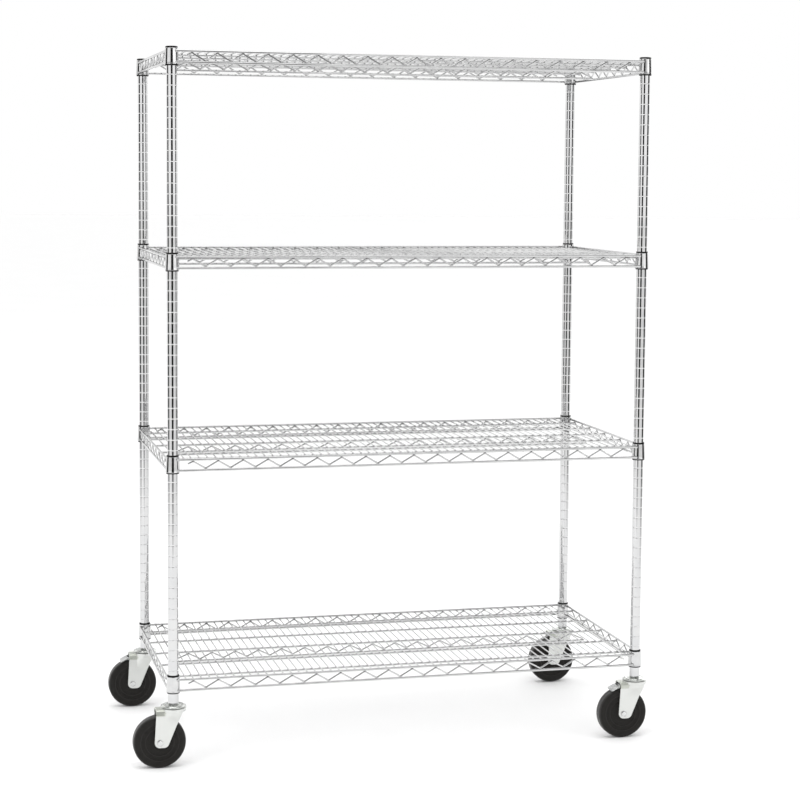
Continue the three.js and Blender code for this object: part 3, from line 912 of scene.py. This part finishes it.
def fork_edges(y, z):
    """Both X edges; the crown's right edge bows out by 2."""
    return fork_left(z), fork_right(z) + 2.0 * max(0.0, 1 - (y / CROWN_HALF) ** 2)


def shoulder_lean(z):
    return (z - 129.0) * 0.29


def fork_bulge(x, y, z):
    """The left shoulder is pressed proud, ending in a slanted step."""
    rise = smooth((z - 128.2) / 1.2)
    step = smooth((-24.0 + shoulder_lean(z) - x) / 1.4)
    height = 0.2 + 2.9 * max(0.0, 1.0 - max(0.0, z - 129.4) / 9.5)
    return rise * step * height * min(1.0, max(0.0, (abs(y) - 8) / 4))


def fork_flare(x, y, z):
    """The tops of the legs swell out to the round of the ball pan."""
    swell = math.sqrt(max(0.0, PAN_R ** 2 - x * x)) - 20.0
    if swell <= 0:
        return 0.0
    if abs(y) < CROWN_HALF:
        return swell * (abs(y) / CROWN_HALF) ** 2
    return swell * smooth((z - 108.0) / 28.0)


def in_painted_shade(x, y, z):
    """Whether a spot is on the crown's own top or on the pressed shoulders, where the zinc is
    painted darker as shade.
    """
    shoulder = x < -22.5 + shoulder_lean(z) and z > 129.3 and abs(y) > 15
    return shoulder or (z > 142.6 and x < -20)


def fork_form():
    """Fork pressed from one bent sheet, and its ball pan. Material 0 zinc, 1 darker zinc
    painted as shade.
    """
    leg = [(-LEG_MID, z) for z in LEG_ZS]
    for k in range(1, 9):
        angle = math.pi - math.pi / 2 * k / 8
        leg.append((-CROWN_HALF + FORK_BEND * math.cos(angle),
                    CROWN_MID - FORK_BEND + FORK_BEND * math.sin(angle)))
    crown = [(y, CROWN_MID) for y in np.linspace(-CROWN_HALF, CROWN_HALF, 14)[1:-1]]
    path = leg + crown + [(-y, z) for y, z in reversed(leg)]

    blank = Form()
    sheet(blank, path, fork_edges, FORK_SHEET, columns=40, corner=0.7,
          bulge=fork_bulge, flare=fork_flare)
    cutter = Form()
    add_cutter(cutter, (-TRAIL, 0, AXLE_Z), 4.4, -30, 30, sides=32, axis="y")
    add_cutter(cutter, (0, 0, 140), 7.6, -12, 12, sides=32, axis="z")
    form = cut_away(blank.raw_mesh("tmp_body"), cutter)
    verts = form.verts()
    form.mats = [int(in_painted_shade(*verts[list(face)].mean(axis=0))) for face in form.faces]
    turned(form, [
        (8.0, 141.0), (25.5, 141.0), (28.2, 139.0), (29.2, 137.6), (30.0, 137.3),
        (30.4, 137.8), (30.6, 139.2), (30.65, 141.0), (30.65, 143.9), (30.4, 144.9),
        (29.7, 145.4), (26.4, 145.5), (25.6, 145.2), (24.9, 144.7), (8.0, 144.7),
    ], sides=72)
    return form


def stem_form():
    """Raceway disc, king pin and stem. Material 0 zinc, 1 the near-black band painted as shade
    in the gap under the disc.
    """
    form = Form()
    # raceway disc
    turned(form, [
        (0, 145.3), (24.2, 145.3), (24.6, 145.6), (24.6, 146.6), (25.6, 147.0), (29.5, 147.0),
        (30.2, 147.25), (30.6, 147.85), (30.6, 148.75), (30.2, 149.45), (29.2, 149.9),
        (27.4, 150.2), (26.4, 150.7), (25.9, 151.4), (25.3, 151.9), (24.2, 152.1),
        (22.6, 152.15), (21.6, 151.9), (20.6, 151.45), (18.6, 151.4), (17.6, 151.7),
        (16.9, 152.1), (16.0, 152.3), (0, 152.4),
    ], sides=72)
    # near-black band painted as the shade in the gap under the disc
    turned(form, [(20.0, 145.25), (25.0, 145.25), (25.0, 147.05), (20.0, 147.05)],
           sides=72, mat=1)
    # washer
    turned(form, [(9.0, 152.2), (13.9, 152.2), (14.3, 152.45), (14.3, 152.95), (13.8, 153.25),
                  (9.0, 153.3)], sides=48)
    # thin hexagon
    turned(form, [(0, 152.1), (9.2, 152.1), (10.0, 152.4), (10.0, 153.4), (9.4, 153.75),
                  (0, 153.75)], sides=48, hexagon=(17.4, (2, 3)))
    # stem
    turned(form, [(0, 153.0), (4.7, 153.0), (4.7, 170.6), (4.2, 171.6), (3.4, 172.0),
                  (0, 172.0)], sides=28)
    # king pin, its head below the crown
    turned(form, [(0, 135.6), (8.2, 135.6), (9.2, 136.0), (9.5, 136.8), (9.5, 139.2),
                  (9.1, 139.7), (6.5, 139.8), (6.5, 145.6), (0, 145.6)], sides=36)
    return form


def plug_form():
    """Flanged plug in the post's foot, round the stem."""
    form = Form()
    turned(form, [
        (5.1, 154.05), (12.0, 154.05), (12.5, 154.25), (12.62, 154.7), (12.6, 155.2),
        (12.3, 155.6), (11.1, 155.7), (11.1, 178.6), (10.4, 180.0), (6.0, 180.0), (5.1, 179.2),
    ], sides=44)
    return form


WHEEL_R, WHEEL_HALF, TREAD_ROUND = 63.5, 15.0, 6.6
# one side of the wheel from the bore outward: (radius, distance from the middle plane)
WHEEL_SIDE = [
    (6.4, 13.2), (6.8, 13.6), (11.5, 14.9), (12.6, 15.25), (15.4, 15.25), (16.6, 14.9),
    (17.2, 13.9), (17.9, 12.9), (19.2, 12.3), (26.0, 12.15), (31.2, 12.35), (32.6, 12.6),
    (33.3, 13.3), (34.2, 13.65), (35.2, 13.3), (36.0, 12.75), (40.0, 12.95), (43.2, 13.3),
    (44.2, 13.9), (45.2, 14.5), (46.2, 14.65), (46.9, 14.2), (47.5, 14.2), (48.2, 14.72),
    (50.0, 14.95), (54.0, WHEEL_HALF),
]


def wheel_form():
    """Hard rubber wheel, axis along Y."""
    half = list(WHEEL_SIDE)
    for k in range(10):
        angle = math.pi / 2 * (1 - k / 9)
        half.append((WHEEL_R - TREAD_ROUND + TREAD_ROUND * math.cos(angle),
                     WHEEL_HALF - TREAD_ROUND + TREAD_ROUND * math.sin(angle)))
    half += [(WHEEL_R, 5.0), (WHEEL_R, 1.2)]
    form = Form()
    turned(form, half + [(radius, -y) for radius, y in reversed(half)], sides=112, axis="y")
    return form


def bush_form():
    """Tube through the wheel with a thin flange at each end."""
    half = [(4.45, -16.5), (9.2, -16.5), (9.6, -16.3), (9.6, -15.7), (9.2, -15.45),
            (6.1, -15.45)]
    form = Form()
    turned(form, half + [(radius, -y) for radius, y in reversed(half)], sides=36, axis="y")
    return form


def bolt_form():
    """Hexagon bolt with a pressed washer face, head at the front."""
    form = Form()
    turned(form, [
        (0, -24.0), (4.9, -24.2), (5.9, -24.25), (6.75, -23.7), (7.4, -22.9), (7.4, -21.55),
        (7.45, -21.5), (7.5, -20.9), (7.45, -20.45), (4.4, -20.35), (4.0, -20.0), (4.0, 23.2),
        (3.2, 24.3), (0, 24.35),
    ], sides=54, axis="y", hexagon=(12.9, (3, 4, 5)))
    # thread ridges at the rear end
    for k in range(4):
        y = 23.3 - k * 0.9
        turned(form, [(3.3, y - 0.3), (4.05, y), (3.3, y + 0.3)], sides=28, axis="y")
    return form


def nut_form():
    """Lock nut at the rear end of the bolt."""
    form = Form()
    turned(form, [
        (4.6, 20.35), (7.4, 20.35), (7.75, 20.6), (7.75, 22.9), (7.0, 23.4), (5.9, 23.5),
        (5.7, 24.0), (5.2, 24.35), (4.6, 24.35),
    ], sides=54, axis="y", hexagon=(13.2, (1, 2, 3)))
    return form


PIN_X, PIN_Z = -40.5, 132.5     # cross pin of the brake pedal
# outline of a pedal ear: (x, z)
PEDAL_EAR = [
    (PIN_X + 4.1, PIN_Z - 1.2), (PIN_X + 4.3, PIN_Z + 1.2), (PIN_X + 3.4, PIN_Z + 3.3),
    (PIN_X + 0.6, PIN_Z + 4.2), (-47.6, 133.9), (-49.6, 132.8), (-53.4, 130.4),
    (-52.8, 127.9), (-48.6, 129.4), (PIN_X - 1.6, PIN_Z - 3.9), (PIN_X + 1.9, PIN_Z - 3.9),
]
# toe plate: its (x, z) line from the ears outward, and the columns across it
TOE_LINE = [(-47.2, 132.6), (-50.2, 131.3), (-63.6, 124.2), (-65.4, 121.7)]
TOE_YS = [-19.5, -19.3, -18.6, -17.0, -12.0, -6.0, 0.0, 6.0, 12.0, 17.0, 18.6, 19.3, 19.5]
TOE_HALF = TOE_YS[-1]
TOE_LENGTH, TOE_CORNER = 18.5, 3.0
TOE_HALF_THICK = 1.05
TOE_CROWN, TOE_CROWN_HALF = 0.5, 14.0   # height and half width of the raised middle


def add_toe_plate(form):
    """A curled sheet carried across Y, its corners rounded in plan."""
    path = np.asarray(rounded(TOE_LINE, 3.0, steps=6))
    normals = -path_normals(path)
    last = len(path) - 1
    verts = []
    for i in range(len(path)):
        part = i / last
        into_corner = max(0.0, TOE_CORNER - min(part, 1 - part) * TOE_LENGTH)
        shrink = TOE_CORNER - math.sqrt(TOE_CORNER ** 2 - into_corner ** 2)
        for side, columns in ((1, TOE_YS), (-1, TOE_YS[::-1])):
            for y in columns:
                edge = 1.0 - max(0.0, (abs(y) - 18.6) / 0.9) ** 2
                offset = side * TOE_HALF_THICK * math.sqrt(max(0.04, edge))
                if abs(y) < TOE_CROWN_HALF:
                    crown = TOE_CROWN * math.cos(y / TOE_CROWN_HALF * math.pi / 2) ** 2
                    offset += crown * math.sin(math.pi * part)
                x, z = path[i] + normals[i] * offset
                verts.append((x, y * (TOE_HALF - shrink) / TOE_HALF, z))
    count = 2 * len(TOE_YS)
    faces = []
    for i in range(last):
        faces += bridge(i * count, (i + 1) * count, count)
    for base in (0, last * count):
        faces += end_strips(base, count)
    form.add(verts, faces)


def pedal_form():
    """Brake pedal of bent sheet: ears on the cross pin and a broad toe plate over the tread."""
    form = Form()
    for low, high in ((-15.6, -13.4), (13.4, 15.6)):
        plate(form, PEDAL_EAR, low, high, hole=(PIN_X, PIN_Z, 2.7), bevel=0.35)
    add_toe_plate(form)
    return form


def pin_form():
    """Cross pin through the pedal's ears."""
    pin = Form()
    turned(pin, [(0, -16.6), (1.8, -16.6), (2.3, -16.2), (2.4, -15.8), (2.4, 15.8),
                 (2.3, 16.2), (1.8, 16.6), (0, 16.6)], sides=28, axis="y")
    form = Form()
    form.join(pin, (PIN_X, 0, PIN_Z))
    return form


fork_mesh = fork_form().mesh("pressed_fork", [zinc_plate, zinc_painted_shade], sharp=30)
stem_mesh = stem_form().mesh("caster_stem_set", [race_zinc, race_gap_painted_shade], sharp=40)
plug_mesh = plug_form().mesh("post_plug", [fastener_steel])
wheel_mesh = wheel_form().mesh("rubber_wheel", [wheel_rubber], sharp=50)
bush_mesh = bush_form().mesh("nylon_bush", [bush_nylon])
bolt_mesh = bolt_form().mesh("axle_hex_bolt", [fastener_steel])
nut_mesh = nut_form().mesh("axle_lock_nut", [fastener_steel])
pedal_mesh = pedal_form().mesh("toe_pedal", [pedal_zinc], sharp=40)
pin_mesh = pin_form().mesh("pedal_pin", [fastener_steel])


def body_of(node):
    """The body that a CAD node belongs to."""
    return frame["nodes"][node]["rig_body"]


# name, mesh, CAD node and slot of the parts on the axle
AXLE_PARTS = (
    ("nylon_bush", bush_mesh, "axle_bush", "bush"),
    ("hex_bolt", bolt_mesh, "axle_bolt", "plain_steel"),
    ("lock_nut", nut_mesh, "axle_nut", "plain_steel"),
)

for corner in CORNERS:
    foot = (*POST_AT[corner][:2], 0.0)
    hub = WHEEL_AT[corner]
    place(f"post_plug_{corner}", plug_mesh, "frame", f"post_insert_{corner}",
          at=foot)
    place(f"stem_and_race_{corner}", stem_mesh, "frame", f"caster_stem_{corner}",
          at=foot)
    place(f"pressed_fork_{corner}", fork_mesh, f"swivel_{corner}", f"caster_fork_{corner}",
          at=foot)
    place(f"rubber_wheel_{corner}", wheel_mesh, f"wheel_{corner}", f"wheel_{corner}",
          at=hub)
    for name, mesh, node, slot in AXLE_PARTS:
        node = f"{node}_{corner}"
        place(f"{name}_{corner}", mesh, body_of(node), node, at=hub)
    if corner in BRAKED:
        place(f"toe_pedal_{corner}", pedal_mesh, f"pedal_{corner}", f"brake_pedal_{corner}",
              at=foot)
        node = f"brake_pin_{corner}"
        place(f"pedal_pin_{corner}", pin_mesh, body_of(node), node, at=foot)


# ---------------------------------------------------------------- stage (metres)
scene = bpy.context.scene
scene.view_settings.view_transform = "Standard"
scene.view_settings.look = "None"
scene.view_settings.exposure = 0.0
scene.view_settings.gamma = 1.0

FLOOR_TONE = 0.80
FLOOR_RADIUS = 60.0
FLOOR_DROP = 0.0004         # keeps the floor just clear of the wheels


def add_floor():
    material, nodes, surface, coords = new_material("studio_floor")
    cloud = nodes.noise(coords, scale=1.5, detail=2.0)
    nodes.set(surface, {
        "Base Color": nodes.greys(cloud, [(0.3, FLOOR_TONE), (0.7, FLOOR_TONE + 0.01)]),
        "Roughness": 0.7,
        "Specular IOR Level": 0.15,
    })
    mesh = bpy.data.meshes.new("floor")
    edit = bmesh.new()
    bmesh.ops.create_circle(edit, cap_ends=True, segments=64, radius=FLOOR_RADIUS)
    edit.to_mesh(mesh)
    edit.free()
    mesh.materials.append(material)
    floor = bpy.data.objects.new("floor", mesh)
    floor.location = (CENTRE_X, CENTRE_Y, -FLOOR_DROP)
    scene.collection.objects.link(floor)


def add_card(name, x, y, width, foot, head, tone, fade, louvred=False):
    """A dark panel at (x, y) from the rack's centre, facing it, seen only as a reflection in
    the plating. It reaches from z = foot to head and pales toward its foot over `fade`."""
    material = bpy.data.materials.new(name)
    nodes = Nodes(material)
    output = nodes.new("OutputMaterial")
    emission = nodes.new("Emission")
    geometry = nodes.new("NewGeometry")
    height = nodes.split(geometry.outputs["Position"])["Z"]
    level = nodes.remap(height, source=(foot, foot + fade), target=(0.0, 1.0))
    shade = nodes.greys(level, [(0.0, 1.15), (0.35, 0.72), (0.75, 0.22), (1.0, tone)])
    if louvred:
        # slats that show their white undersides to anything looking up at them
        incoming = nodes.split(geometry.outputs["Incoming"])["Z"]
        from_below = nodes.remap(incoming, source=(-0.05, 0.0), target=(1.0, 0.0))
        shade = nodes.mix(from_below, shade, (1.25,) * 3)
    nodes.set(emission, {"Color": shade})
    nodes.set(output, {"Surface": emission.outputs[0]})

    outward = Vector((x, y, 0)).normalized()
    across = Vector((-outward.y, outward.x, 0))
    centre = Vector((CENTRE_X + x, CENTRE_Y + y, 0))
    verts = [tuple(centre + across * (side * width / 2) + Vector((0, 0, z)))
             for side, z in ((-1, foot), (1, foot), (1, head), (-1, head))]
    mesh = bpy.data.meshes.new(name)
    mesh.from_pydata(verts, [], [(0, 1, 2, 3)])
    mesh.materials.append(material)
    card = bpy.data.objects.new(name, mesh)
    scene.collection.objects.link(card)
    for ray in ("camera", "diffuse", "transmission", "volume_scatter", "shadow"):
        setattr(card, f"visible_{ray}", False)


add_floor()
add_card("dark_card_front", x=-0.72, y=-2.32, width=1.50, foot=0.10, head=2.3, tone=0.02,
         fade=0.42)
add_card("dark_card_left", x=-3.40, y=0.25, width=1.9, foot=0.04, head=2.6, tone=0.03,
         fade=0.36)
add_card("dark_card_right", x=1.92, y=-0.62, width=1.15, foot=0.16, head=2.3, tone=0.03,
         fade=0.42)
add_card("dark_card_back", x=0.80, y=2.60, width=1.05, foot=0.10, head=2.3, tone=0.03,
         fade=0.42, louvred=True)

# World brightness seen by the camera and by diffuse light.
WORLD_CAMERA, WORLD_DIFFUSE = 1.0, 1.27
# What the plating mirrors, as (upward part of the direction, brightness): a white sweep
# behind the rack, and a room in front that darkens above the horizon.
SWEEP_BEHIND = [(0.0, 1.10), (0.20, 1.12), (0.34, 1.45), (0.50, 1.40), (0.78, 0.60),
                (0.95, 0.40), (1.0, 0.45)]
ROOM_IN_FRONT = [(0.0, 1.30), (0.16, 1.27), (0.32, 0.60), (0.55, 0.32), (0.95, 0.36),
                 (1.0, 0.45)]
# Factor on both from left (0) to right (1): dimmest just past the middle, bright at the right.
LEFT_TO_RIGHT = [(0.0, 1.0), (0.36, 0.88), (0.48, 0.56), (0.56, 0.48), (0.605, 0.72),
                 (0.65, 1.12), (0.69, 1.50), (1.0, 1.35)]


def add_world():
    world = bpy.data.worlds.new("studio")
    scene.world = world
    nodes = Nodes(world)
    output = nodes.new("OutputWorld")
    background = nodes.new("Background")
    rays = nodes.new("LightPath").outputs
    direction = nodes.split(nodes.new("TexCoord").outputs["Generated"])
    behind = nodes.greys(direction["Z"], SWEEP_BEHIND)
    in_front = nodes.greys(direction["Z"], ROOM_IN_FRONT)
    backward = nodes.remap(direction["Y"], source=(-0.15, 0.25), target=(0.0, 1.0))
    room = nodes.mix(backward, in_front, behind)
    rightward = nodes.remap(direction["X"], source=(-1.0, 1.0), target=(0.0, 1.0))
    side = nodes.greys(rightward, LEFT_TO_RIGHT)
    # the factor fades out toward the horizon
    upward = nodes.remap(direction["Z"], source=(0.03, 0.16), target=(0.0, 1.0))
    side = nodes.mix(upward, (1.0,) * 3, side)
    room = nodes.mix(1.0, room, side, blend="MULTIPLY")
    colour = nodes.mix(rays["Is Glossy Ray"], (WORLD_DIFFUSE,) * 3, room)
    colour = nodes.mix(rays["Is Camera Ray"], colour, (WORLD_CAMERA,) * 3)
    nodes.set(background, {"Color": colour, "Strength": 1.0})
    nodes.set(output, {"Surface": background.outputs[0]})


def add_softbox(name, offset, aim_z, size, power):
    """An area light at an offset from the rack's centre, aimed at the centre at aim_z."""
    light = bpy.data.lights.new(name, "AREA")
    light.shape = "RECTANGLE"
    light.size, light.size_y = size
    light.energy = power
    x, y, z = offset
    place_at = Vector((CENTRE_X + x, CENTRE_Y + y, z))
    aim = Vector((CENTRE_X, CENTRE_Y, aim_z))
    softbox = bpy.data.objects.new(name, light)
    softbox.location = place_at
    softbox.rotation_mode = "QUATERNION"
    softbox.rotation_quaternion = (aim - place_at).to_track_quat("-Z", "Y")
    softbox.visible_camera = False
    scene.collection.objects.link(softbox)
    return softbox


add_world()
add_softbox("softbox_top", offset=(-0.6, -0.8, 5.2), aim_z=0.4, size=(4.5, 4.5), power=130)
left_box = add_softbox("softbox_left", offset=(-4.2, -3.4, 3.0), aim_z=0.8, size=(2.4, 3.0),
                       power=35)
left_box.visible_glossy = False     # its reflection would burn out the deck wires

CAMERA_OFFSET, CAMERA_HEIGHT = (-1.2175, -5.0371), 1.4353   # from the rack's centre; floor
CAMERA_YAW, CAMERA_PITCH, CAMERA_ROLL = -14.6955, 5.1211, 0.4816    # degrees, pitch downward
SENSOR_WIDTH, LENS = 36.0, 90.47934                         # millimetres
LENS_SHIFT = (-0.0305275, -0.06)                            # in sensor widths


def add_camera():
    """To the left of the rack's front, above its middle, looking slightly down."""
    yaw, pitch, roll = map(math.radians, (CAMERA_YAW, CAMERA_PITCH, CAMERA_ROLL))
    level_right = Vector((math.cos(yaw), math.sin(yaw), 0))
    level_ahead = Vector((-math.sin(yaw), math.cos(yaw), 0))
    vertical = Vector((0, 0, 1))
    ahead = level_ahead * math.cos(pitch) - vertical * math.sin(pitch)
    level_up = level_ahead * math.sin(pitch) + vertical * math.cos(pitch)
    right = level_right * math.cos(roll) + level_up * math.sin(roll)
    up = level_right * -math.sin(roll) + level_up * math.cos(roll)
    lens = bpy.data.cameras.new("camera")
    lens.sensor_fit = "HORIZONTAL"
    lens.sensor_width = SENSOR_WIDTH
    lens.lens = LENS
    lens.shift_x, lens.shift_y = LENS_SHIFT
    lens.clip_start, lens.clip_end = 0.05, 200
    camera = bpy.data.objects.new("camera", lens)
    matrix = Matrix((right, up, -ahead)).transposed().to_4x4()
    matrix.translation = (CENTRE_X + CAMERA_OFFSET[0], CENTRE_Y + CAMERA_OFFSET[1],
                          CAMERA_HEIGHT)
    camera.matrix_world = matrix
    scene.collection.objects.link(camera)
    scene.camera = camera


add_camera()

bpy.context.view_layer.update()
